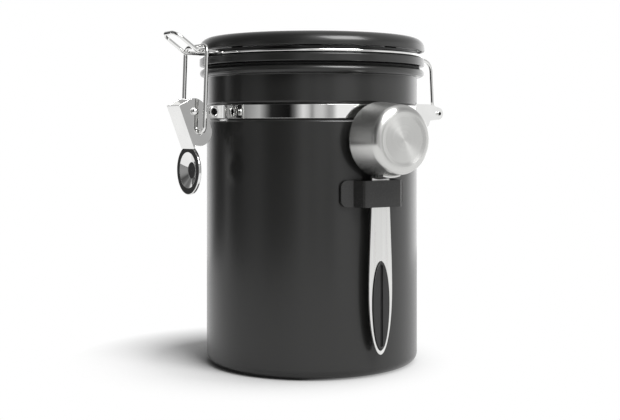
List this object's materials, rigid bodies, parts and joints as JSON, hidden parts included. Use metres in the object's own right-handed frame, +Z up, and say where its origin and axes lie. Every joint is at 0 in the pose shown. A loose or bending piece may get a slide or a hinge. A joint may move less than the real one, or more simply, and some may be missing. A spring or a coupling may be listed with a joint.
{
  "type": "coffee canister",
  "caption": "Charcoal steel coffee canister with a wire clamp lid, one-way gas valve, calendar dials and a steel scoop in a side clip.",
  "frame": {"origin": "centre of the base, on the surface the canister stands on", "axes": "+Z up along the body, -X towards the clasp, +X towards the hinge, -Y towards the scoop"},
  "size_m": [0.1761, 0.1509, 0.1829],
  "materials": {
    "body_coat": "satin charcoal coat on steel",
    "chrome": "mirror-bright plated steel",
    "steel": "brushed stainless steel",
    "grip_plastic": "fine black moulded plastic",
    "clip_plastic": "smooth charcoal moulded plastic",
    "lid_plastic": "dark grey moulded plastic",
    "dial_plastic": "off-white plastic with dark figures",
    "gasket_rubber": "matt black silicone",
    "foam_tape": "matt black foam tape",
    "filter_felt": "off-white felt"
  },
  "bodies": {
    "canister": {"canister_shell": "body_coat", "neck_band": "chrome", "band_eyelet": "chrome", "clasp_pin": "chrome", "hinge_bracket": "chrome", "hinge_rivet_near": "chrome", "hinge_rivet_far": "chrome", "scoop_clip": "clip_plastic", "clip_tape_left": "foam_tape", "clip_tape_right": "foam_tape"},
    "lever": {"clasp_lever": "chrome"},
    "bail": {"clasp_bail": "chrome"},
    "lid": {"lid_wire": "chrome", "lid_base": "body_coat", "lid_cover": "body_coat", "lid_gasket": "gasket_rubber", "lid_screw_1": "steel", "lid_screw_2": "steel", "lid_screw_3": "steel", "vent_cap": "lid_plastic", "valve_housing": "lid_plastic", "valve_filter": "filter_felt"},
    "flap": {"valve_flap": "gasket_rubber"},
    "day_ring": {"day_dial": "dial_plastic"},
    "month_ring": {"month_dial": "dial_plastic"},
    "scoop": {"scoop_bowl": "steel", "scoop_handle": "steel", "handle_insert": "grip_plastic"}
  },
  "joints": [
    {"name": "lid_hinge", "type": "hinge", "parent": "canister", "child": "lid", "pos_m": [0.081, 0, 0.14035], "axis": [0, 1, 0], "range_deg": [0, 165]},
    {"name": "clasp_lever_swing", "type": "hinge", "parent": "canister", "child": "lever", "pos_m": [-0.079, 0, 0.14035], "axis": [0, 1, 0], "range_deg": [0, 120]},
    {"name": "clasp_bail_swing", "type": "hinge", "parent": "lever", "child": "bail", "pos_m": [-0.0758, 0, 0.1294], "axis": [0, 1, 0], "range_deg": [-100.8, 0]},
    {"name": "scoop_lift", "type": "slide", "parent": "canister", "child": "scoop", "axis": [0, 0, 1], "range_m": [0, 0.095]},
    {"name": "day_dial_turn", "type": "hinge", "parent": "lid", "child": "day_ring", "pos_m": [0, 0, 0.1813], "axis": [0, 0, 1], "continuous": true},
    {"name": "month_dial_turn", "type": "hinge", "parent": "lid", "child": "month_ring", "pos_m": [0, 0, 0.1813], "axis": [0, 0, 1], "continuous": true},
    {"name": "valve_flap_lift", "type": "slide", "parent": "lid", "child": "flap", "axis": [0, 0, 1], "range_m": [0, 0.0008], "stiffness_N_per_m": 20}
  ],
  "couplings": [
    {"joint": "clasp_bail_swing", "follows": "clasp_lever_swing", "ratio": -0.84}
  ]
}
